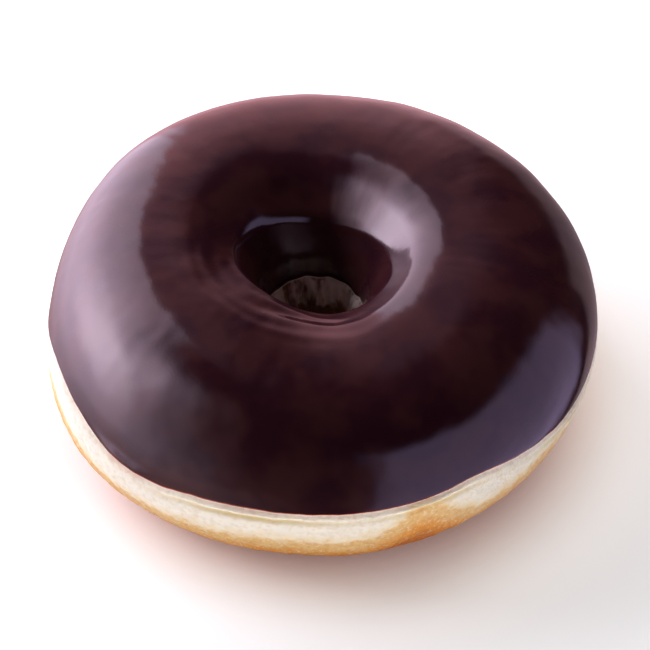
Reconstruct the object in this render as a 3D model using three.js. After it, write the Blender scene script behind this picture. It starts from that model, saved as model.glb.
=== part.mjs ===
// A yeast-raised ring doughnut: one ring of fried dough, and the chocolate glaze that its top was dipped in.
//
// Units are millimetres and +Z is up. The origin is on the surface that the doughnut rests on, under the
// middle of its outline. -Y is its front and +X its right.
//
// Both solids are a torus whose points are moved. A point has a turn, the angle round the ring from +X, and a
// section angle: 0 points away from the ring's middle, a quarter turn up, and half a turn into the hole.

import * as THREE from "three";

// The outer surface: the dough's own below, and the glaze's where there is glaze
const OUTER_RADIUS = 45; // to the waist, its widest line
const HOLE_RADIUS = 7.3; // at the throat, the narrowest line of the hole
const CREST_HEIGHT = 36;
const WAIST_HEIGHT = 17.2;
const THROAT_HEIGHT = 13.6;
const CREST_SHARE = 0.49; // where the crest lies between the throat and the waist
const SETTLING = 1.2; // how much of the rounded underside is pressed flat by the ring's own weight
const OUTER_FULLNESS = 2.29; // superellipse exponents: 2 is an ellipse, and more is squarer
const INNER_FULLNESS = 1.96;

// No ring rises evenly. Each wave is [size in mm, how many times round the ring, the turn of its first peak].
const OUTLINE_WAVES = [
  [0.32, 2, 1.09],
  [0.48, 3, -0.26],
  [0.4, 4, 0.57],
  [0.25, 5, -0.14],
];
const CREST_WAVES = [
  [1.3, 1, -2.36],
  [0.5, 2, 0.44],
];
const HOLE_WAVES = [
  [2.2, 1, 2.98],
  [0.2, 2, 0.5],
];

// The glaze
const GLAZE_THICKNESS = 1.2;
const GLAZE_GAP = 0.3; // between the two solids, which would share their faces
const LIP_INSET = 0.7; // how far the glaze's rounded edge falls back from its outer surface
const DIP_HEIGHT = 18.2; // of the glaze's edge, which the surface of the melted glaze drew
const HOLE_EDGE_HEIGHT = 18.5; // the same in the hole
// Where the outer edge strays from that height: [mm up, the turn it is at, half its width in radians]
const EDGE_STRAYS = [
  [5.2, -2.74, 0.34],
  [-1.4, -2.27, 0.2],
  [1.6, -0.98, 0.22],
  [-2, -0.4, 0.45],
  [1.3, 0.9, 0.4],
  [-1.2, 1.9, 0.3],
];
const TILT_SHARE = -0.3; // how much of a stray shows in the hole: where one edge is high, the other is low

// How finely the two solids are faceted
const TURN_STEPS = 64;
const DOUGH_SECTION_STEPS = 32;
const GLAZED_SHARE = 14 / DOUGH_SECTION_STEPS; // of the dough's section steps, those under the glaze
const GLAZE_SECTION_STEPS = 34;
const TANGENT_STEP = 0.02; // radians of section angle

const FULL_TURN = 2 * Math.PI;

const waves = (list, turn) =>
  list.reduce((sum, [size, count, peak]) => sum + size * Math.cos(count * (turn - peak)), 0);

// The angle from one turn to another, the short way round.
const turnBetween = (from, to) => Math.atan2(Math.sin(to - from), Math.cos(to - from));

const bump = (turn, [size, at, width]) => size * Math.exp(-((turnBetween(at, turn) / width) ** 2));

const strays = (turn) => EDGE_STRAYS.reduce((sum, stray) => sum + bump(turn, stray), 0);

// The section at a turn: how far its three lines are from the ring's axis, and how high its crest is.
function sectionAt(turn) {
  const waist = OUTER_RADIUS + waves(OUTLINE_WAVES, turn);
  const throat = HOLE_RADIUS + waves(HOLE_WAVES, turn);
  const crest = throat + CREST_SHARE * (waist - throat);
  return { waist, throat, crest, crestHeight: CREST_HEIGHT + waves(CREST_WAVES, turn) };
}

// [distance from the axis, height] of the outer surface, before the underside is pressed flat.
function outerPoint(turn, angle) {
  const section = sectionAt(turn);
  const [cos, sin] = [Math.cos(angle), Math.sin(angle)];
  const outside = cos > 0;
  const power = 2 / (outside ? OUTER_FULLNESS : INNER_FULLNESS);
  const middle = outside ? WAIST_HEIGHT : THROAT_HEIGHT;
  const reach = (outside ? section.waist : section.throat) - section.crest;
  const rise = sin > 0 ? section.crestHeight - middle : middle + SETTLING;
  return [
    section.crest + reach * Math.abs(cos) ** power,
    middle + Math.sign(sin) * rise * Math.abs(sin) ** power,
  ];
}

// The same point moved inwards by inset, square to the section.
function insetPoint(turn, angle, inset) {
  const here = outerPoint(turn, angle);
  const before = outerPoint(turn, angle - TANGENT_STEP);
  const after = outerPoint(turn, angle + TANGENT_STEP);
  const along = new THREE.Vector2(after[0] - before[0], after[1] - before[1]).normalize();
  return [here[0] - inset * along.y, here[1] + inset * along.x];
}

// The section angle at which the outer surface is at a height, on the outside or in the hole.
function angleAtHeight(height, turn, outside) {
  const middle = outside ? WAIST_HEIGHT : THROAT_HEIGHT;
  const fullness = outside ? OUTER_FULLNESS : INNER_FULLNESS;
  const above = height > middle;
  const rise = above ? sectionAt(turn).crestHeight - middle : middle + SETTLING;
  const angle = Math.asin((Math.abs(height - middle) / rise) ** (fullness / 2)) * (above ? 1 : -1);
  return outside ? angle : Math.PI - angle;
}

// The section angles of the glaze's edge, on the outside and in the hole.
function glazeEdges(turn) {
  const stray = strays(turn);
  return [
    angleAtHeight(DIP_HEIGHT + stray, turn, true),
    angleAtHeight(HOLE_EDGE_HEIGHT + TILT_SHARE * stray, turn, false),
  ];
}

// The dough's section goes from the glaze's outer edge over the crest to its edge in the hole, set in under
// the glaze, and on round the underside as the outer surface. share is how far along it a point is, 0 to 1.
function doughPoint(turn, share) {
  const [outerEdge, holeEdge] = glazeEdges(turn);
  if (share <= GLAZED_SHARE) {
    const under = outerEdge + (share / GLAZED_SHARE) * (holeEdge - outerEdge);
    return insetPoint(turn, under, GLAZE_THICKNESS + GLAZE_GAP);
  }
  const bare = (share - GLAZED_SHARE) / (1 - GLAZED_SHARE);
  return outerPoint(turn, holeEdge + bare * (outerEdge + FULL_TURN - holeEdge));
}

// The glaze's section goes from its outer edge over the crest to its edge in the hole, and back underneath.
function glazePoint(turn, share) {
  const [outerEdge, holeEdge] = glazeEdges(turn);
  const onTop = share <= 0.5;
  const along = 2 * (onTop ? share : 1 - share);
  const angle = outerEdge + along * (holeEdge - outerEdge);
  if (along === 0 || along === 1) {
    return insetPoint(turn, angle, LIP_INSET);
  }
  return insetPoint(turn, angle, onTop ? 0 : GLAZE_THICKNESS);
}

// A closed ring solid: a torus whose points are placed by place(turn, share of the section).
function ringSolid(sectionSteps, place) {
  const torus = new THREE.TorusGeometry(OUTER_RADIUS, HOLE_RADIUS, sectionSteps, TURN_STEPS);
  const { position, uv } = torus.attributes;
  for (let i = 0; i < position.count; i++) {
    const turn = FULL_TURN * (uv.getX(i) % 1);
    const [radius, height] = place(turn, uv.getY(i) % 1);
    position.setXYZ(i, radius * Math.cos(turn), radius * Math.sin(turn), Math.max(height, 0));
  }
  return torus;
}

function namedMesh(name, geometry, color, roughness) {
  const mesh = new THREE.Mesh(geometry, new THREE.MeshStandardMaterial({ color, roughness, metalness: 0 }));
  mesh.name = name;
  return mesh;
}

const doughnut = new THREE.Group();
doughnut.add(namedMesh("dough_ring", ringSolid(DOUGH_SECTION_STEPS, doughPoint), "#d9a05f", 0.75));
doughnut.add(namedMesh("chocolate_glaze", ringSolid(GLAZE_SECTION_STEPS, glazePoint), "#3a2024", 0.25));

// The origin goes under the middle of the outline.
const outlineMiddle = new THREE.Box3().setFromObject(doughnut).getCenter(new THREE.Vector3());
doughnut.position.set(-outlineMiddle.x, -outlineMiddle.y, 0);

export default doughnut;
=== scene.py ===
"""A yeast-raised ring doughnut with a set chocolate glaze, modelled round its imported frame.

The shape is worked out in millimetres and written into the meshes in metres. +Z is up, -Y is the front and
+X the right. A point of the ring has a turn, the angle round the ring from +X, and a section angle: 0 points
away from the ring's middle, a quarter turn up, and half a turn into the hole.
"""

from math import atan2, cos, exp, hypot, pi, radians, sin, sqrt

import bmesh
import bpy
from bpy.props import FloatProperty, FloatVectorProperty, PointerProperty
from mathutils import Matrix, Vector, noise


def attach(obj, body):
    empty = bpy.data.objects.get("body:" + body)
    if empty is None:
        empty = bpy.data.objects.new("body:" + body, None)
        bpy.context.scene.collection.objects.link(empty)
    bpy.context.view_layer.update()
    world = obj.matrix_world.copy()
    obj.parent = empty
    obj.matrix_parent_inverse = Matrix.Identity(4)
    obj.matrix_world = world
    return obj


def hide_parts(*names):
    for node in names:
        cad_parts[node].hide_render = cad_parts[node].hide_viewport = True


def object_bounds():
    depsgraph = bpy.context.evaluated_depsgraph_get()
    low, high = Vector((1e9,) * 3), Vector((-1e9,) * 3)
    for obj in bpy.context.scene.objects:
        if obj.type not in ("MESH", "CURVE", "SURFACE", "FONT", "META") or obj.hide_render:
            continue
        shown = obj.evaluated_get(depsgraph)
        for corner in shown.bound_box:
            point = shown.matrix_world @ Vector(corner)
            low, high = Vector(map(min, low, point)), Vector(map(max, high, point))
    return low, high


bl_info = {
    "name": "Ring doughnut",
    "version": (1, 0, 0),
    "blender": (4, 5, 0),
    "location": "View3D > Sidebar > Doughnut",
    "description": "Models a ring doughnut with a chocolate glaze, and a stage to look at it on",
    "category": "Object",
}

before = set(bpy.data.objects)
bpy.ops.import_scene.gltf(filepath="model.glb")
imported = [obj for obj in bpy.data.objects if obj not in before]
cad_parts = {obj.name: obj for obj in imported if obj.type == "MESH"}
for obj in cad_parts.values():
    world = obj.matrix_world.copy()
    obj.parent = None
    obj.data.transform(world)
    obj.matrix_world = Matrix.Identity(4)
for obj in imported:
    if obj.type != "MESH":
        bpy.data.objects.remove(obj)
CAD_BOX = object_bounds()

MM = 0.001
FULL_TURN = 2 * pi


# ----------------------------------------------------------------------------------------------------
# Sizes and colours


def linear(code):
    """A colour written as sRGB hex, as the linear colour that Blender mixes."""
    channels = [int(code[i : i + 2], 16) / 255 for i in (1, 3, 5)]
    return tuple(c / 12.92 if c <= 0.04045 else ((c + 0.055) / 1.055) ** 2.4 for c in channels)


def length(name, description, size_mm):
    """A size property, given in millimetres and kept in metres."""
    return FloatProperty(
        name=name, description=description, default=size_mm * MM, min=0, subtype="DISTANCE", unit="LENGTH"
    )


def tint(name, description, code):
    """A colour property, given as sRGB hex and kept linear."""
    return FloatVectorProperty(
        name=name, description=description, default=linear(code), min=0, max=1, size=3, subtype="COLOR"
    )


def light_level(name, description, default):
    """A property for how bright something is."""
    return FloatProperty(name=name, description=description, default=default, min=0)


OUTLINE_SLACK = 0.4  # mm by which the waves in the outline keep its box smaller than its mean radius says
CREST_SLACK = -1.73  # mm from the frame's highest point to the mean height of the crest
FRAME_WIDTH, FRAME_DEPTH, FRAME_HEIGHT = (CAD_BOX[1] - CAD_BOX[0]) / MM


class DoughSettings(bpy.types.PropertyGroup):
    """The ring of fried dough."""

    outer_radius: length("Outer radius", "From the middle to the waist, the widest line",
                         (FRAME_WIDTH + FRAME_DEPTH) / 4 + OUTLINE_SLACK)
    hole_radius: length("Hole radius", "From the middle of the hole to the throat, its narrowest line", 6.9)
    crest_height: length("Crest height", "Mean height of the top, with its glaze", FRAME_HEIGHT + CREST_SLACK)
    waist_height: length("Waist height", "Height of the widest line", 17.2)
    throat_height: length("Throat height", "Height of the narrowest line of the hole", 13.6)
    fry_height: length("Fry line height", "Where the browned crust ends and the pale band begins", 11.2)
    gold: tint("Gold", "Fried crust near the fry line", "#f3cb88")
    crust: tint("Crust", "Fried crust", "#f4a845")
    deep_crust: tint("Deep crust", "Fried crust where it was deepest in the oil", "#d2782a")
    speck: tint("Specks", "Small dry specks on the crust", "#fbe6bd")
    band: tint("Band", "The pale band that the oil didn't reach", "#fdf6e9")
    band_shade: tint("Pores", "Pores in the pale band", "#d9c5a2")
    toast: tint("Toasted band", "The band just above the fry line", "#f6dfb0")
    # This colour is painted shade in the groove under the fold of skin, not the skin's own colour
    skin: tint("Skin", "The fold of skin under the glaze's edge", "#d9c07c")
    # The hole's colours are painted shade: the wall is greyer and the crust a deep brown, darker than outside
    shaded_hole_wall: tint("Hole wall", "The band in the hole, which is greyer", "#e0cdc2")
    shaded_hole_crust: tint("Hole crust", "The crust in the hole, which is browner", "#70402c")


class GlazeSettings(bpy.types.PropertyGroup):
    """The chocolate glaze."""

    thickness: length("Thickness", "Thickness of the set glaze", 1.2)
    dip_height: length("Dip height", "Height of the outer edge, which the melted glaze drew", 18.2)
    hole_edge_height: length("Hole edge height", "Height of the edge in the hole", 18.2)
    chocolate: tint("Chocolate", "The glaze where it is thick", "#341720")
    brown: tint("Brown chocolate", "The glaze in its browner clouds", "#502b29")
    thin: tint("Thin glaze", "The glaze at its thin edge, where light comes through", "#ee5222")
    roughness: FloatProperty(
        name="Roughness", description="How soft reflections are", default=0.13, min=0, max=1, subtype="FACTOR"
    )


class StageSettings(bpy.types.PropertyGroup):
    """The floor, the lights and the camera."""

    floor: tint("Floor", "The paper under the doughnut", "#f4f4f5")
    lens: FloatProperty(
        name="Lens", description="Focal length", default=169.4, min=10, subtype="DISTANCE_CAMERA"
    )
    distance: length("Distance", "From the camera to the doughnut", 500)
    elevation: FloatProperty(
        name="Elevation", description="How far the camera looks down", default=radians(45.27), subtype="ANGLE"
    )
    key: light_level("Key light", "Brightness of the softbox at the left", 6)
    fill: light_level("Fill light", "Brightness of the card at the right", 0.7)
    back: light_level("Back light", "Brightness of the wall behind", 1.3)
    bounce: light_level("Bounce light", "Brightness of the lit table in front", 5)
    glowing: light_level("Floor glow", "Brightness of the light in the floor", 0.6)
    horizon: light_level("Horizon", "How much brighter the floor is far away", 0.3)
    room: light_level("Room", "Brightness of the room", 0.04)


# ----------------------------------------------------------------------------------------------------
# The ring's shape, in millimetres and radians

SETTLING = 1.2  # how much of the rounded underside the ring's weight presses flat
OUTER_FULLNESS = 2.29  # superellipse exponents: 2 is an ellipse, and more is squarer
INNER_FULLNESS = 1.96
TANGENT_STEP = 0.02
HALVINGS = 24  # how often the search for a height's angle halves the stretch it is in

# Waves are (size, how many times round the ring, the turn of the first peak)
OUTLINE_WAVES = ((0.32, 2, 1.09), (0.48, 3, -0.26), (0.4, 4, 0.57), (0.25, 5, -0.14))
CREST_WAVES = ((1.3, 1, -2.36), (0.5, 2, 0.44))
HOLE_WAVES = ((1.1, 1, 2.98), (0.2, 2, 0.5))

# Where the crest lies between the throat and the waist, and the waves in that share
CREST_SHARE = 0.475
CREST_SHIFT = ((0.025, 1, 3.0), (0.03, 1, -1.6), (0.015, 2, 1.57))

# The funnel has corners, which curves round: a brim, a bend at the foot of its cone, and the place where the
# wall of the hole turns upright. Each size is followed by the waves in it.
BRIM_REACH = 5.2  # from the crest in to the brim
BRIM_SHIFT = ((0.8, 1, 0.0),)
BEND_REACH = 5.2  # from the throat out to the bend
BEND_SHIFT = ((1.2, 1, -1.6),)
BEND_DEPTH = 4.7  # from the crest down to the bend
BEND_TILT = ((1.5, 1, 1.2),)
NARROWING_RISE = 6.0  # from the throat up to where the wall turns upright
CONE_TOP, CONE_FOOT = 0.45, 0.86  # where the cone is straight, as shares of the way from brim to bend
WALL_TOP = 0.12  # where the bend's curve ends, as a share of the way from there to the upright wall
BRIM_END, CONE_END, BEND_END = 0.35, 0.5, 0.7  # the shares of the funnel at which its parts end

# Bumps and strays are (how far up, the turn it is at, half its width)
CREST_DIPS = ((-2.7, -1.4, 0.8), (-1.2, 0.1, 0.7), (-0.6, 3.3, 0.7))
EDGE_STRAYS = (
    (5.2, -2.74, 0.34),
    (-1.4, -2.27, 0.2),
    (1.6, -0.98, 0.22),
    (-2.0, -0.4, 0.45),
    (1.3, 0.9, 0.4),
    (-1.2, 1.9, 0.3),
)
FRY_STRAYS = (
    (6.5, -2.8, 0.24),
    (-0.9, -2.1, 0.15),
    (5.8, -1.2, 0.15),
    (1.8, -0.66, 0.2),
    (2.2, 0.5, 0.3),
    (-1.2, 1.4, 0.3),
    (3.4, 2.4, 0.22),
)
TILT_SHARE = -0.3  # how much of the edge's stray shows in the hole, the other way up
HOLE_FRY_RISE = 1.3  # how much higher than outside the crust ends in the hole

LIP = 0.38  # how thick the glaze is at its edge
LIP_WIDTH = 0.7  # how far from its edge the glaze is rounded
# Where the glaze gathered into a thicker lip: (extra thickness, turn, half width)
LIP_BEADS = ((0.6, -2.33, 0.085), (0.25, -2.24, 0.03), (0.15, 1.2, 0.3), (0.2, 2.7, 0.2))
THIN_BEADS = LIP_BEADS[:2]  # those that light comes through

# Where a fold of skin shows under the glaze's edge: (height, turn, half width)
SKIN_FOLDS = ((0.42, -1.82, 0.3), (0.4, -1.17, 0.16), (0.25, -0.5, 0.25), (0.35, 0.6, 0.3), (0.3, 2.2, 0.35))
DEEP_FOLD = 0.4  # the height at which a fold shows its full painted shade in its groove

# Unevenness is (height, size of its lumps, seed). This is the unevenness of lines that run round the ring.
EDGE_GRAINS = ((0.22, 4.5, 0.0), (0.09, 1.3, 3.0))
HOLE_EDGE_GRAINS = ((0.9, 16, 5.0),)
FRY_GRAINS = ((0.6, 6, 7.0),)
HOLE_FRY_GRAINS = ((1.4, 14, 9.0),)
LIP_GRAINS = ((0.05, 5, 1.0),)


def smooth(low, high, value):
    """0 below low, 1 above high, and a smooth step between."""
    t = min(max((value - low) / (high - low), 0), 1)
    return t * t * (3 - 2 * t)


def waves(parts, turn):
    """The sum at a turn of waves that run round the ring."""
    return sum(size * cos(count * (turn - peak)) for size, count, peak in parts)


def turn_between(start, end):
    """The angle from one turn to another, the short way round."""
    return atan2(sin(end - start), cos(end - start))


def bumps(parts, turn):
    """The sum at a turn of bumps, each at its own place of the ring."""
    return sum(size * exp(-((turn_between(at, turn) / width) ** 2)) for size, at, width in parts)


def grain(place, size, seed=0.0):
    """Smooth noise from -1 to 1, with lumps of about size."""
    return noise.noise(place / size + Vector((seed, 2 * seed, -seed)))


def grains(parts, place):
    """A sum of grain, coarse and fine."""
    return sum(height * grain(place, size, seed) for height, size, seed in parts)


def between(start, end, share):
    """The point at a share of the way from start to end."""
    return tuple(a + share * (b - a) for a, b in zip(start, end))


def curve(start, corner, end, share):
    """A point of the curve that rounds a corner."""
    return between(between(start, corner, share), between(corner, end, share), share)


class Section:
    """The ring's section at one turn, in millimetres."""

    def __init__(self, turn, dough, glaze):
        self.turn = turn
        self.waist = dough.outer_radius / MM + waves(OUTLINE_WAVES, turn)
        self.throat = dough.hole_radius / MM + waves(HOLE_WAVES, turn)
        self.crest = self.throat + (CREST_SHARE + waves(CREST_SHIFT, turn)) * (self.waist - self.throat)
        self.top = dough.crest_height / MM + waves(CREST_WAVES, turn) + bumps(CREST_DIPS, turn)
        self.middles = (dough.throat_height / MM, dough.waist_height / MM)
        rim = Vector((self.waist * cos(turn), self.waist * sin(turn), 0))
        stray = bumps(EDGE_STRAYS, turn)
        self.edge = glaze.dip_height / MM + stray + grains(EDGE_GRAINS, rim)
        self.hole_edge = glaze.hole_edge_height / MM + TILT_SHARE * stray + grains(HOLE_EDGE_GRAINS, rim)
        self.edge_angles = (self.angle_at(self.edge, True), self.angle_at(self.hole_edge, False))
        self.fry = dough.fry_height / MM + bumps(FRY_STRAYS, turn) + grains(FRY_GRAINS, rim)
        self.hole_fry = dough.fry_height / MM + HOLE_FRY_RISE + grains(HOLE_FRY_GRAINS, rim)
        self.lip = LIP + bumps(LIP_BEADS, turn) + grains(LIP_GRAINS, rim)
        self.skin_fold = bumps(SKIN_FOLDS, turn)

    def funnel(self, share):
        """The outer surface from the crest, at share 0, over the brim, down a cone and round a bend into the
        wall of the hole, to the throat, at 1."""
        crest, throat = (self.crest, self.top), (self.throat, self.middles[False])
        brim = (self.crest - BRIM_REACH - waves(BRIM_SHIFT, self.turn), self.top)
        reach = BEND_REACH + waves(BEND_SHIFT, self.turn)
        depth = BEND_DEPTH + waves(BEND_TILT, self.turn)
        bend = (self.throat + reach, self.top - depth)
        narrowing = (self.throat, throat[1] + NARROWING_RISE)
        cone_top, cone_foot = between(brim, bend, CONE_TOP), between(brim, bend, CONE_FOOT)
        wall_top = between(bend, narrowing, WALL_TOP)
        if share < BRIM_END:
            return curve(crest, brim, cone_top, share / BRIM_END)
        if share < CONE_END:
            return between(cone_top, cone_foot, (share - BRIM_END) / (CONE_END - BRIM_END))
        if share < BEND_END:
            return curve(cone_foot, bend, wall_top, (share - CONE_END) / (BEND_END - CONE_END))
        return curve(wall_top, narrowing, throat, (share - BEND_END) / (1 - BEND_END))

    def outer(self, angle):
        """(distance from the axis, height) of the outer surface, before the underside is pressed flat."""
        c, s = cos(angle), sin(angle)
        outside = c > 0
        if s > 0 and not outside:
            return self.funnel(2 * angle / pi - 1)
        power = 2 / (OUTER_FULLNESS if outside else INNER_FULLNESS)
        middle = self.middles[outside]
        reach = (self.waist if outside else self.throat) - self.crest
        rise = self.top - middle if s > 0 else -middle - SETTLING
        return self.crest + reach * abs(c) ** power, middle + rise * abs(s) ** power

    def inset(self, angle, depth):
        """The same point moved inwards by depth, and the way out of the surface there."""
        r, z = self.outer(angle)
        r0, z0 = self.outer(angle - TANGENT_STEP)
        r1, z1 = self.outer(angle + TANGENT_STEP)
        size = hypot(r1 - r0, z1 - z0)
        out = ((z1 - z0) / size, (r0 - r1) / size)
        return r - depth * out[0], z - depth * out[1], out

    def angle_at(self, height, outside):
        """The section angle at which the outer surface is at a height, on the outside or in the hole."""
        bottom, top = (-pi / 2, pi / 2) if outside else (3 * pi / 2, pi / 2)
        for _ in range(HALVINGS):
            angle = (bottom + top) / 2
            if self.outer(angle)[1] < height:
                bottom = angle
            else:
                top = angle
        return angle

    def point(self, radius, height):
        """The point at a distance from the axis and a height, in this section."""
        return Vector((radius * cos(self.turn), radius * sin(self.turn), height))


def crowd_ends(share, crowding):
    """Moves shares from 0 to 1 towards both ends, so that the mesh is finest there."""
    return share - crowding * sin(FULL_TURN * share) / FULL_TURN


# ----------------------------------------------------------------------------------------------------
# The two pieces

ROUGH_SECTION = 0.01  # radius in metres of the circle that is spun, before its points are placed
TURN_STEPS = 512
GLAZED_STEPS = 22  # of the dough's section, those hidden under the glaze
BARE_STEPS = 162  # and those in the open
GLAZE_TOP_STEPS = 158
GLAZE_UNDER_STEPS = 26
BARE_CROWDING = 0.45
TOP_CROWDING = 0.7
CLEARANCE = 0.05  # between the glaze and the dough under it
THICKENING = 2.0  # how far from its edge the glaze has its full thickness
NO_EDGE = 10.0  # the distance from the outer edge that is written where only the hole's edge is near
SIDE_RADIUS = 17  # how sharply the ring's side curves, which turns section angles into lengths
INWARD = 0.85  # how far a section's point faces the hole, as a cosine, where it counts as wholly in the hole
COVERED = (0.0, 5.0, 0.0, 0.0)  # the dough's attributes under the glaze

# Unevenness of the dough, as (height, size of its lumps, seed)
DOUGH_ROLL = ((0.25, 11, 2.0),)
CRUMB = ((0.11, 1.9, 4.0), (0.07, 1.0, 6.0))
CRUST_GRAINS = ((0.09, 2.4, 8.0), (0.05, 1.1, 9.0))
TORN_FOLDS = ((1.0, 1.0, 1.0, 16), (0.6, 0.42, 2.0, 9))  # with how much longer they are than wide
TORN_HEIGHT = 1.1
BAND_BULGE = 0.15
BLISTER_HEIGHT = 0.22
BLISTER_SPACING = 1.7
BLISTER_REACH = 0.6  # of that spacing
# The skin's fold is a ridge and a groove: (height as a share, how far below the edge, half width)
FOLD_RIDGE = (1.0, 0.7, 0.38)
FOLD_GROOVE = (-0.9, 1.6, 0.5)
PRESSED = 0.03  # how uneven the underside is where the ring's weight presses it flat

# Unevenness of the glaze
GLAZE_ROLL = ((0.13, 10, 1.0), (0.055, 4.6, 2.0), (0.016, 2.0, 3.0))
STREAKS = ((0.022, 2.2, 5.0, 4), (0.035, 5.5, 6.0, 2.5))  # with how much longer they are than wide
FUNNEL_STREAKS = 0.2  # how much of them shows in the funnel
RIPPLE = 0.05
RIPPLE_SPACING = 0.6
RIPPLE_TURN = -1.9  # where the ripples are deepest
BEAD_RISE = 0.8  # how much of a bead's extra thickness stands out
BEAD_PLACE = (1.0, 1.0, 0.75)  # (share of its height, how far from the edge, half width)


def spun_ring(name, section_steps, place, layers):
    """A closed ring mesh. A circle is spun round the Z axis, and place(turn step, share) then puts every
    point where it belongs. share is how far round the circle a point is, 0 to 1. place also gives a value for
    each of layers, which are the names of the mesh's attributes."""
    bm = bmesh.new()
    to_side = Matrix.Translation((3 * ROUGH_SECTION, 0, 0)) @ Matrix.Rotation(pi / 2, 4, "X")
    bmesh.ops.create_circle(bm, segments=section_steps, radius=ROUGH_SECTION, matrix=to_side)
    share_layer = bm.verts.layers.float.new("share")
    for i, vertex in enumerate(bm.verts):
        vertex[share_layer] = i / section_steps
    bmesh.ops.spin(
        bm,
        geom=bm.verts[:] + bm.edges[:],
        cent=(0, 0, 0),
        axis=(0, 0, 1),
        dvec=(0, 0, 0),
        angle=FULL_TURN,
        steps=TURN_STEPS,
        use_merge=True,
    )
    value_layers = [bm.verts.layers.float.new(layer) for layer in layers]
    for vertex in bm.verts:
        turn = atan2(vertex.co.y, vertex.co.x)
        step = round(turn / FULL_TURN * TURN_STEPS)
        point, values = place(step, vertex[share_layer])
        vertex.co = point * MM
        for layer, value in zip(value_layers, values):
            vertex[layer] = value
    bmesh.ops.recalc_face_normals(bm, faces=bm.faces)
    if any(not edge.is_manifold for edge in bm.edges):
        raise RuntimeError(f"{name} isn't closed")
    for face in bm.faces:
        face.smooth = True
    mesh = bpy.data.meshes.new(name)
    bm.to_mesh(mesh)
    bm.free()
    piece = bpy.data.objects.new(name, mesh)
    bpy.context.scene.collection.objects.link(piece)
    return piece


class Sections(dict):
    """The ring's sections by turn step, each worked out once."""

    def __init__(self, scene):
        super().__init__()
        self.dough = scene.doughnut_dough
        self.glaze = scene.doughnut_glaze

    def __missing__(self, step):
        self[step] = Section(FULL_TURN * step / TURN_STEPS, self.dough, self.glaze)
        return self[step]


def centre_over_origin(piece, sections):
    """Puts the middle of the ring's outline over the origin."""
    outline = [sections[step].point(sections[step].waist, 0) for step in range(TURN_STEPS)]
    xs, ys = [p.x for p in outline], [p.y for p in outline]
    middle = Vector((max(xs) + min(xs), max(ys) + min(ys), 0)) / 2
    piece.data.transform(Matrix.Translation(-middle * MM))


def ridge(part, distance):
    """The height at a distance of a rounded ridge, (height, the distance it is at, half its width)."""
    size, at, width = part
    return size * exp(-(((distance - at) / width) ** 2))


def long_grains(parts, place, along):
    """Unevenness that is drawn out: along is the way in which it is long."""
    return sum(height * grain(place + along / stretch, size, seed) for height, size, seed, stretch in parts)


def dough_relief(section, place, below_edge, above_fry, in_hole):
    """How far the bare dough stands out of the even ring."""
    band = smooth(-0.8, 0.8, above_fry)
    relief = grains(DOUGH_ROLL, place)
    # The band is soft crumb, and bulges a little between the crust and the glaze
    bulge = BAND_BULGE * smooth(0, 2.5, above_fry) * smooth(0.3, 2, below_edge)
    relief += band * (grains(CRUMB, place) + bulge)
    # The crust is blistered
    blister = max(0.0, BLISTER_REACH - noise.voronoi(place / BLISTER_SPACING)[0][0])
    relief += (1 - band) * (BLISTER_HEIGHT * blister + grains(CRUST_GRAINS, place))
    if in_hole:
        # The wall of the hole has torn into upright folds as it rose
        around = Vector((cos(section.turn), sin(section.turn), 0)) * 3
        folds = long_grains(TORN_FOLDS, around, Vector((0, 0, place.z)))
        return relief + TORN_HEIGHT * folds * smooth(3, 8, place.z) * smooth(0, 2.5, below_edge)
    # The skin folds over just below the glaze
    return relief + section.skin_fold * (ridge(FOLD_RIDGE, below_edge) + ridge(FOLD_GROOVE, below_edge))


def under_glaze(section, from_edge, thickness):
    """How deep under the outer surface the glaze's own underside is, at a distance from its edge."""
    return section.lip + (thickness - section.lip) * smooth(0, THICKENING, from_edge)


def make_dough(scene):
    """The ring of dough. Its section runs from the glaze's outer edge, under the glaze, to its edge in the
    hole, and from there in the open round the underside."""
    sections = Sections(scene)
    total = GLAZED_STEPS + BARE_STEPS
    glazed_depth = scene.doughnut_glaze.thickness / MM + CLEARANCE

    def place(step, share):
        section = sections[step]
        outer_edge, hole_edge = section.edge_angles
        index = round(share * total)
        if index <= GLAZED_STEPS:
            along = index / GLAZED_STEPS
            angle = outer_edge + along * (hole_edge - outer_edge)
            from_edge = min(along, 1 - along) * (hole_edge - outer_edge) * SIDE_RADIUS
            r, z, _ = section.inset(angle, under_glaze(section, from_edge, glazed_depth))
            return section.point(r, z), COVERED
        bare = crowd_ends((index - GLAZED_STEPS) / BARE_STEPS, BARE_CROWDING)
        angle = hole_edge + bare * (outer_edge + FULL_TURN - hole_edge)
        r, z, out = section.inset(angle, 0)
        inward = smooth(0, INWARD, -cos(angle))  # 0 on the outside and 1 in the hole
        in_hole = inward > 0
        below_edge = section.edge + inward * (section.hole_edge - section.edge) - z
        above_fry = z - section.fry - inward * (section.hole_fry - section.fry)
        even = section.point(r, z)
        relief = dough_relief(section, even, below_edge, above_fry, in_hole)
        from_glaze = min(bare, 1 - bare) * (outer_edge + FULL_TURN - hole_edge) * SIDE_RADIUS
        tucked_in = ridge((section.lip, 0, LIP_WIDTH), below_edge)
        depth = tucked_in - relief * smooth(0, 0.5, from_glaze)
        point = section.point(r - depth * out[0], z - depth * out[1])
        point.z = max(point.z, PRESSED * (1 + grain(even, 1.4, 11.0)))
        # How strongly the painted shade in the fold's groove shows
        fold = 0.0 if in_hole else min(section.skin_fold / DEEP_FOLD, 1.0)
        return point, (below_edge, above_fry, inward, fold)

    piece = spun_ring("fried_dough_ring", total, place, ("below_edge", "above_fry", "in_hole", "fold"))
    centre_over_origin(piece, sections)
    return piece


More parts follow.
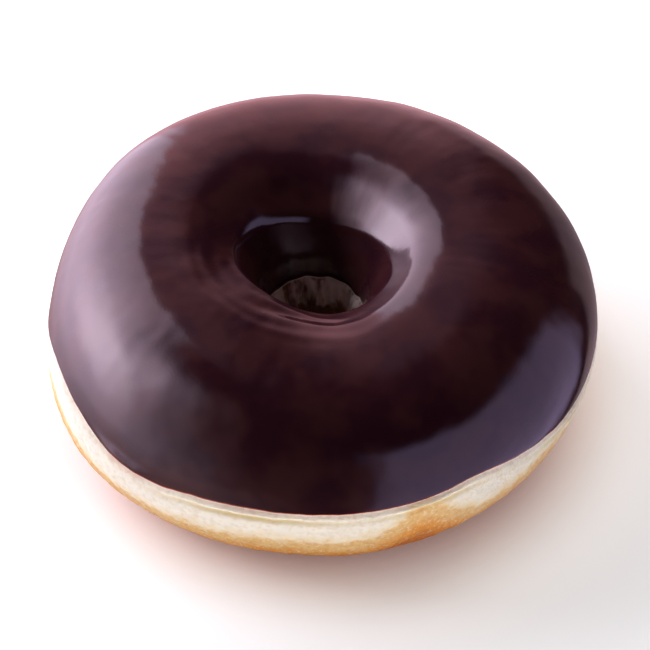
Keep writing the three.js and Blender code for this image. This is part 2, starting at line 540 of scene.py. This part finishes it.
def glaze_relief(section, angle, place):
    """How far the glaze's surface stands out of the even ring."""
    # Streaks where the melted glaze ran: long down the section, and short round the ring
    round_ring = Vector((cos(section.turn), sin(section.turn), 0)) * 32
    streaks = long_grains(STREAKS, round_ring, Vector((0, 0, angle * SIDE_RADIUS)))
    streaks *= 1 - (1 - FUNNEL_STREAKS) * smooth(radians(85), radians(105), angle)
    # Ripples round the funnel's near side
    inner = smooth(radians(92), radians(112), angle) * (1 - smooth(radians(140), radians(155), angle))
    near = bumps(((1.0, RIPPLE_TURN, 1.0),), section.turn)
    ripples = sin(angle * SIDE_RADIUS / RIPPLE_SPACING + 2.4 * grain(place, 8, 3.0))
    return grains(GLAZE_ROLL, place) + streaks + RIPPLE * inner * near * ripples


def make_glaze(scene):
    """The glaze. Its section runs over the top from its outer edge to its edge in the hole, and back
    underneath."""
    sections = Sections(scene)
    total = GLAZE_TOP_STEPS + GLAZE_UNDER_STEPS
    thickness = scene.doughnut_glaze.thickness / MM

    def place(step, share):
        section = sections[step]
        outer_edge, hole_edge = section.edge_angles
        index = round(share * total)
        on_top = index <= GLAZE_TOP_STEPS
        if on_top:
            along = crowd_ends(index / GLAZE_TOP_STEPS, TOP_CROWDING)
        else:
            along = 1 - (index - GLAZE_TOP_STEPS) / GLAZE_UNDER_STEPS
        outside = along < 0.5
        angle = outer_edge + along * (hole_edge - outer_edge)
        from_edge = min(along, 1 - along) * (hole_edge - outer_edge) * SIDE_RADIUS
        if on_top:
            even = section.point(*section.outer(angle))
            fall = max(0.0, 1 - from_edge / LIP_WIDTH)
            rounding = section.lip * (1 - sqrt(max(0.0, 1 - fall * fall)))
            gathered = bumps(LIP_BEADS, section.turn) * ridge(BEAD_PLACE, from_edge) if outside else 0
            depth = rounding - BEAD_RISE * gathered
            depth -= glaze_relief(section, angle, even) * smooth(0, 1.5, from_edge)
        else:
            depth = under_glaze(section, from_edge, thickness)
        r, z, _ = section.inset(angle, depth)
        bead = min(bumps(THIN_BEADS, section.turn), 1) if outside else 0
        return section.point(r, z), (from_edge if outside else NO_EDGE, bead)

    piece = spun_ring("set_chocolate_glaze", total, place, ("from_edge", "bead"))
    centre_over_origin(piece, sections)
    return piece


# ----------------------------------------------------------------------------------------------------
# Materials

# Where the dough's colours change, in mm above the fry line: (where the change begins, where it is done)
GOLD_TO_CRUST = (-1.2, -5.5)
CRUST_TO_DEEP = (-4.0, -9.5)
CRUST_TO_BAND = (-0.9, 1.1)
TOASTED = (3.4, 0.4)
DRY = (-1.0, 0.5)
SPECKS_FADE = (-9.0, -5.0)
# Where the painted shade in the fold's groove begins and ends, in mm below the glaze's edge
GROOVE_SHADE_STARTS = (0.9, 1.4)
GROOVE_SHADE_ENDS = (2.5, 1.7)

# Patterns are (size of the lumps in mm, detail, where in the noise they begin, where they are full)
MOTTLING = (0.9, 5, 0.42, 0.68)
SPECKS = (0.55, 3, 0.55, 0.63)
PORES = (0.9, 4, 0.42, 0.7)
TEARS = (1.8, 3, 0.44, 0.68)
CLOUDS = (7.0, 2, 0.35, 0.65)

RAGGEDNESS = 4.5  # mm by which the fry line strays up and down
THIN_EDGE = 0.42  # how wide in mm the glaze's edge is thin, where it has no bead

# Where the paper begins to glow and where it glows fully, in metres from the middle
SHADOW_EDGE = (0.03, 0.055)
FAR_AWAY = (0.3, 1.2)


def add(tree, kind, settings=None, **inputs):
    """Adds a node. settings are its own properties. inputs are values or sockets, by socket name with _ for a
    space, or by number as _0, _1 and so on."""
    node = tree.nodes.new("ShaderNode" + kind)
    for key, value in (settings or {}).items():
        setattr(node, key, value)
    for key, value in inputs.items():
        socket = node.inputs[int(key[1:])] if key[1:].isdigit() else node.inputs[key.replace("_", " ")]
        if isinstance(value, bpy.types.NodeSocket):
            tree.links.new(value, socket)
        else:
            socket.default_value = value
    return node


def new_material(name):
    """A material with no nodes yet."""
    material = bpy.data.materials.new(name)
    material.use_nodes = True
    material.node_tree.nodes.clear()
    return material


def rgba(colour):
    """A colour with full opacity."""
    return (*colour[:3], 1.0)


def step_between(tree, value, low, high):
    """A smooth step of a value from low to high."""
    smoothly = {"interpolation_type": "SMOOTHSTEP"}
    return add(tree, "MapRange", smoothly, Value=value, From_Min=low, From_Max=high).outputs["Result"]


def mix(tree, factor, first, second):
    """A blend of two colours."""
    node = add(tree, "Mix", {"data_type": "RGBA"}, _0=factor, _6=first, _7=second)
    return node.outputs[2]


def maths(tree, operation, first, second):
    """The result of a sum on two values, each a number or a socket."""
    return add(tree, "Math", {"operation": operation}, _0=first, _1=second).outputs[0]


def lumps(tree, place, size_mm, detail):
    """Noise whose lumps are about size_mm."""
    return add(tree, "TexNoise", None, Vector=place, Scale=1 / (size_mm * MM), Detail=detail).outputs["Fac"]


def pattern(tree, place, shape, weight):
    """Patches of noise, from 0 between them to weight in them."""
    size_mm, detail, low, high = shape
    return maths(tree, "MULTIPLY", step_between(tree, lumps(tree, place, size_mm, detail), low, high), weight)


def attribute(tree, name):
    """A value that the piece's own mesh holds."""
    return add(tree, "Attribute", {"attribute_name": name}).outputs["Fac"]


def finish_material(material, piece, bsdf):
    """Puts the shader on the material, and the material on the piece."""
    output = add(material.node_tree, "OutputMaterial", None, Surface=bsdf.outputs[0])
    output.is_active_output = True
    piece.data.materials.append(material)


def crust_colour(tree, place, height, in_hole, dough):
    """Gold at the fry line, then orange, then brown, mottled all over, with small dry specks. In the hole it
    turns a deep brown, which is painted shade.
    """
    crust = mix(tree, step_between(tree, height, *GOLD_TO_CRUST), rgba(dough.gold), rgba(dough.crust))
    crust = mix(tree, step_between(tree, height, *CRUST_TO_DEEP), crust, rgba(dough.deep_crust))
    crust = mix(tree, pattern(tree, place, MOTTLING, 0.28), crust, rgba(dough.deep_crust))
    # The specks fade towards the underside, which the oil browned evenly
    low, high = SPECKS_FADE
    weight = add(tree, "MapRange", None, Value=height, From_Min=low, From_Max=high, To_Min=0.15, To_Max=0.6)
    crust = mix(tree, pattern(tree, place, SPECKS, weight.outputs["Result"]), crust, rgba(dough.speck))
    # Painted shade: in the hole the crust is darkened to a deep brown
    return mix(tree, maths(tree, "MULTIPLY", in_hole, 0.85), crust, rgba(dough.shaded_hole_crust))


def band_colour(tree, place, height, in_hole, dough):
    """Cream crumb with darker pores, painted shade in the groove under the fold of skin below the glaze, and
    in the hole a greyer wall with dark streaks, which is painted shade too.
    """
    pale = mix(tree, pattern(tree, place, PORES, 0.3), rgba(dough.band), rgba(dough.band_shade))
    below_edge = attribute(tree, "below_edge")
    # Painted shade: a yellowish olive line in the groove under the fold of skin
    in_fold_groove = maths(
        tree,
        "MULTIPLY",
        step_between(tree, below_edge, *GROOVE_SHADE_ENDS),
        step_between(tree, below_edge, *GROOVE_SHADE_STARTS),
    )
    fold_groove_shade = maths(tree, "MULTIPLY", in_fold_groove, attribute(tree, "fold"))
    pale = mix(tree, maths(tree, "MULTIPLY", fold_groove_shade, 0.75), pale, rgba(dough.skin))
    toasted = maths(tree, "MULTIPLY", step_between(tree, height, *TOASTED), 0.6)
    pale = mix(tree, toasted, pale, rgba(dough.toast))
    # Painted shade in the hole: a greyer wall with streaks of the dark hole colour up it
    upright = add(tree, "Mapping", None, Vector=place, Scale=(1, 1, 0.3)).outputs[0]
    wall = mix(tree, pattern(tree, upright, TEARS, 1.0), rgba(dough.shaded_hole_wall), rgba(dough.shaded_hole_crust))
    return mix(tree, maths(tree, "MULTIPLY", in_hole, 0.95), pale, wall)


def fried_dough_material(piece, dough):
    """Fried yeast dough. Below, an oily crust that goes from gold to deep orange, with paler specks; round
    the waist a soft, matt, cream band that the oil never reached."""
    material = new_material("fried_yeast_dough")
    tree = material.node_tree
    place = add(tree, "TexCoord").outputs["Object"]
    in_hole = attribute(tree, "in_hole")
    ragged = maths(tree, "MULTIPLY", maths(tree, "SUBTRACT", lumps(tree, place, 1.6, 5), 0.5), RAGGEDNESS)
    height = maths(tree, "ADD", attribute(tree, "above_fry"), ragged)
    crust = crust_colour(tree, place, height, in_hole, dough)
    band = band_colour(tree, place, height, in_hole, dough)
    colour = mix(tree, step_between(tree, height, *CRUST_TO_BAND), crust, band)
    fine = lumps(tree, place, 0.45, 5)
    grainy = add(tree, "Bump", None, Height=fine, Distance=0.3 * MM, Strength=0.6).outputs["Normal"]
    dry = step_between(tree, height, *DRY)
    roughness = add(tree, "MapRange", None, Value=dry, To_Min=0.45, To_Max=0.8).outputs["Result"]
    bsdf = add(tree, "BsdfPrincipled", None, Base_Color=colour, Roughness=roughness, Normal=grainy, IOR=1.4)
    bsdf.inputs["Subsurface Weight"].default_value = 0.2
    bsdf.inputs["Subsurface Radius"].default_value = (1.0, 0.6, 0.3)
    bsdf.inputs["Subsurface Scale"].default_value = 1.2 * MM
    finish_material(material, piece, bsdf)


def chocolate_glaze_material(piece, glaze):
    """Set chocolate glaze. A soft gloss over a very dark maroon brown, redder where the edge is thin enough
    for light to come through."""
    material = new_material("set_chocolate_glaze")
    tree = material.node_tree
    place = add(tree, "TexCoord").outputs["Object"]
    width = maths(tree, "ADD", attribute(tree, "bead"), THIN_EDGE)
    from_edge = maths(tree, "DIVIDE", attribute(tree, "from_edge"), width)
    body = mix(tree, pattern(tree, place, CLOUDS, 0.5), rgba(glaze.chocolate), rgba(glaze.brown))
    colour = mix(tree, step_between(tree, from_edge, 1.2, 0.1), body, rgba(glaze.thin))
    fine = lumps(tree, place, 0.5, 3)
    grainy = add(tree, "Bump", None, Height=fine, Distance=0.02 * MM, Strength=0.35).outputs["Normal"]
    bsdf = add(
        tree, "BsdfPrincipled", None, Base_Color=colour, Normal=grainy, Roughness=glaze.roughness, IOR=1.5
    )
    finish_material(material, piece, bsdf)


def paper_material(piece, stage):
    """Matt white paper, lit from inside except under the doughnut, and more so far away."""
    material = new_material("white_paper")
    tree = material.node_tree
    bsdf = add(tree, "BsdfPrincipled", None, Base_Color=rgba(stage.floor), Roughness=0.9)
    bsdf.inputs["Specular IOR Level"].default_value = 0.0
    bsdf.inputs["Emission Color"].default_value = rgba(stage.floor)
    place = add(tree, "TexCoord").outputs["Object"]
    radius = add(tree, "VectorMath", {"operation": "LENGTH"}, _0=place).outputs["Value"]
    near = maths(tree, "MULTIPLY", step_between(tree, radius, *SHADOW_EDGE), stage.glowing)
    far = maths(tree, "MULTIPLY", step_between(tree, radius, *FAR_AWAY), stage.horizon)
    glowing = maths(tree, "ADD", near, far)
    tree.links.new(glowing, bsdf.inputs["Emission Strength"])
    finish_material(material, piece, bsdf)


# ----------------------------------------------------------------------------------------------------
# Stage

# (name, radius, height, is mirrored), in metres
FLOORS = (
    ("floor", 3.0, 0.0, False),
    ("floor_middle", 0.03, 0.00001, True),
)
# (name, azimuth and elevation in degrees, distance, width and height in metres, its setting, colour)
SOFTBOXES = (
    ("key_softbox", 148, 27, 0.6, 0.65, 0.45, "key", "#f6f2ff"),
    ("right_card", -24, 7, 0.5, 0.6, 0.2, "fill", "#ece4ff"),
    ("wall_behind", 65, 40, 0.6, 0.6, 0.4, "back", "#fff0ec"),
)
LIT_TABLE = ("table_bounce", -95, -10, 0.18, 0.44, 0.16, "bounce", "#fff4e6")
LIT_TABLE_HEIGHT = 0.004
LIT_FROM_BELOW = "lit_from_below"  # the collection of what the lit table in front shines on
AIM = Vector((0.24, -1.23, 15.78)) * MM  # what the camera looks at


def toward(azimuth, elevation):
    """The direction at an azimuth from +X and an elevation, in degrees."""
    a, e = radians(azimuth), radians(elevation)
    return Vector((cos(a) * cos(e), sin(a) * cos(e), sin(e)))


def soft_light(stage, name, azimuth, elevation, distance, width, height, setting, code):
    """A softbox that faces the doughnut. Its setting is its radiance, and 1 shows as white."""
    light = bpy.data.lights.new(name, "AREA")
    light.shape = "RECTANGLE"
    light.size = width
    light.size_y = height
    light.energy = getattr(stage, setting) * pi * width * height
    light.color = linear(code)
    lamp = bpy.data.objects.new(name, light)
    direction = toward(azimuth, elevation)
    lamp.location = AIM + direction * distance
    lamp.rotation_euler = direction.to_track_quat("Z", "Y").to_euler()
    lamp.visible_camera = False
    lamp.visible_glossy = False
    bpy.context.scene.collection.objects.link(lamp)
    return lamp


def make_floor(stage):
    """Paper. Only the middle of it, which is what the glaze in the hole faces, shows in reflections."""
    for name, radius, height, mirrored in FLOORS:
        bm = bmesh.new()
        bmesh.ops.create_circle(bm, cap_ends=True, segments=96, radius=radius)
        bmesh.ops.translate(bm, vec=(0, 0, height), verts=bm.verts)
        mesh = bpy.data.meshes.new(name)
        bm.to_mesh(mesh)
        bm.free()
        floor = bpy.data.objects.new(name, mesh)
        floor.visible_glossy = mirrored
        bpy.context.scene.collection.objects.link(floor)
        paper_material(floor, stage)


def make_lights(stage):
    """The lights that fall on the doughnut and the floor. The glaze mirrors the room's glows instead."""
    for softbox in SOFTBOXES:
        soft_light(stage, *softbox)
    table = soft_light(stage, *LIT_TABLE)
    table.location.z = LIT_TABLE_HEIGHT
    table.rotation_euler = (pi, 0, 0)
    table.light_linking.receiver_collection = bpy.data.collections.new(LIT_FROM_BELOW)


def glow(tree, azimuth, elevation, azimuths, elevations, brightness, code):
    """A patch of light in the room. azimuths and elevations hold its two edges, each as (degrees, how many
    degrees the edge fades over)."""
    fades = []
    for angle, ((low, low_fade), (high, high_fade)) in ((azimuth, azimuths), (elevation, elevations)):
        for edge, half_fade in ((low, low_fade / 2), (high, -high_fade / 2)):
            fades.append(step_between(tree, angle, radians(edge - half_fade), radians(edge + half_fade)))
    for fade in fades:
        brightness = maths(tree, "MULTIPLY", fade, brightness)
    return add(tree, "Background", None, Color=rgba(linear(code)), Strength=brightness).outputs[0]


FIRST_AZIMUTH = 38  # azimuths are counted from here on, right of the back, up to 398

# What the glaze mirrors: (azimuths, elevations, brightness, colour). Azimuths go from the right through the
# back, the left and the front.
GLOWS = (
    (((104, 4), (220, 60)), ((-29, 30), (63, 28)), 2.5, "#f6daf2"),  # the big window at the left
    (((124, 44), (200, 36)), ((-10, 36), (54, 36)), 3.0, "#f6dcf8"),
    (((144, 44), (190, 30)), ((6, 30), (38, 24)), 5.1, "#fceafc"),
    (((291, 18), (385, 14)), ((-60, 10), (32, 13)), 1.15, "#dac8ff"),  # the card at the right
    (((76, 20), (104, 4)), ((-32, 20), (34, 24)), 1.3, "#ffb8c4"),  # the wall behind, and its upper part
    (((78, 20), (104, 4)), ((36, 16), (78, 20)), 0.3, "#ffcbe0"),
    (((38, 8), (80, 30)), ((-60, 20), (4, 12)), 0.35, "#ffdbe8"),  # the table behind
    (((98, 20), (245, 40)), ((-60, 10), (-28, 14)), 0.5, "#ffd0d8"),  # the table at the left
)


def room_angles(tree):
    """The azimuth and elevation of the direction that is looked in, in radians."""
    direction = add(tree, "TexCoord").outputs["Generated"]
    start = radians(FIRST_AZIMUTH + 180)
    turned = add(tree, "VectorRotate", {"rotation_type": "Z_AXIS"}, Vector=direction, Angle=-start)
    axes = add(tree, "SeparateXYZ", None, Vector=turned.outputs[0])
    azimuth = maths(tree, "ADD", maths(tree, "ARCTAN2", axes.outputs["Y"], axes.outputs["X"]), start)
    return azimuth, add(tree, "Math", {"operation": "ARCSINE"}, _0=axes.outputs["Z"]).outputs[0]


def make_room(stage):
    """Pale for the camera and dim for everything else. Its glows are only for what is mirrored, as softboxes
    are."""
    world = bpy.data.worlds.new("room")
    world.use_nodes = True
    world.cycles.sampling_method = "NONE"
    tree = world.node_tree
    tree.nodes.clear()
    azimuth, elevation = room_angles(tree)
    path = add(tree, "LightPath")
    seen = add(tree, "Background", None, Color=(1, 1, 1, 1), Strength=0.95)
    lit = add(tree, "Background", None, Color=(1, 1, 1, 1), Strength=stage.room)
    mirrored = None
    for shape in GLOWS:
        patch = glow(tree, azimuth, elevation, *shape)
        mirrored = add(tree, "AddShader", None, _0=mirrored, _1=patch).outputs[0] if mirrored else patch
    glossy, camera = path.outputs["Is Glossy Ray"], path.outputs["Is Camera Ray"]
    unseen = add(tree, "MixShader", None, _0=glossy, _1=lit.outputs[0], _2=mirrored)
    both = add(tree, "MixShader", None, _0=camera, _1=unseen.outputs[0], _2=seen.outputs[0])
    add(tree, "OutputWorld", None, Surface=both.outputs[0])
    bpy.context.scene.world = world


def make_camera(stage):
    """A long lens, which looks down at the front."""
    data = bpy.data.cameras.new("camera")
    data.lens = stage.lens
    data.clip_start = 0.01
    data.clip_end = 20
    camera = bpy.data.objects.new("camera", data)
    back = Vector((0, -cos(stage.elevation), sin(stage.elevation)))
    camera.location = AIM + back * stage.distance
    camera.rotation_euler = back.to_track_quat("Z", "Y").to_euler()
    bpy.context.scene.collection.objects.link(camera)
    bpy.context.scene.camera = camera


# ----------------------------------------------------------------------------------------------------
# The add-on


class DOUGHNUT_OT_stage(bpy.types.Operator):
    """Make the floor, the lights, the room and the camera"""

    bl_idname = "doughnut.stage"
    bl_label = "Stage"

    def execute(self, context):
        stage = context.scene.doughnut_stage
        make_floor(stage)
        make_lights(stage)
        make_room(stage)
        make_camera(stage)
        context.scene.view_settings.view_transform = "Standard"
        return {"FINISHED"}


class DOUGHNUT_OT_dough(bpy.types.Operator):
    """Model the ring of fried dough, in place of the frame's plain one"""

    bl_idname = "doughnut.dough"
    bl_label = "Dough ring"

    def execute(self, context):
        piece = make_dough(context.scene)
        fried_dough_material(piece, context.scene.doughnut_dough)
        bpy.data.collections[LIT_FROM_BELOW].objects.link(piece)
        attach(piece, "root")
        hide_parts("dough_ring")
        return {"FINISHED"}


class DOUGHNUT_OT_glaze(bpy.types.Operator):
    """Model the chocolate glaze, in place of the frame's plain one"""

    bl_idname = "doughnut.glaze"
    bl_label = "Chocolate glaze"

    def execute(self, context):
        piece = make_glaze(context.scene)
        chocolate_glaze_material(piece, context.scene.doughnut_glaze)
        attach(piece, "root")
        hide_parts("chocolate_glaze")
        return {"FINISHED"}


class DOUGHNUT_PT_panel(bpy.types.Panel):
    """The doughnut's settings and the operators that make it"""

    bl_idname = "DOUGHNUT_PT_panel"
    bl_label = "Ring doughnut"
    bl_space_type = "VIEW_3D"
    bl_region_type = "UI"
    bl_category = "Doughnut"

    def draw(self, context):
        for operator, settings in (
            ("doughnut.stage", context.scene.doughnut_stage),
            ("doughnut.dough", context.scene.doughnut_dough),
            ("doughnut.glaze", context.scene.doughnut_glaze),
        ):
            box = self.layout.box()
            for name in settings.__annotations__:
                box.prop(settings, name)
            box.operator(operator)


SETTINGS = {"doughnut_dough": DoughSettings, "doughnut_glaze": GlazeSettings, "doughnut_stage": StageSettings}
CLASSES = (*SETTINGS.values(), DOUGHNUT_OT_stage, DOUGHNUT_OT_dough, DOUGHNUT_OT_glaze, DOUGHNUT_PT_panel)


def register():
    for cls in CLASSES:
        bpy.utils.register_class(cls)
    for name, group in SETTINGS.items():
        setattr(bpy.types.Scene, name, PointerProperty(type=group))


def unregister():
    for name in SETTINGS:
        delattr(bpy.types.Scene, name)
    for cls in reversed(CLASSES):
        bpy.utils.unregister_class(cls)


def main():
    register()
    bpy.ops.doughnut.stage()
    bpy.ops.doughnut.dough()
    bpy.ops.doughnut.glaze()


if __name__ == "__main__":
    main()
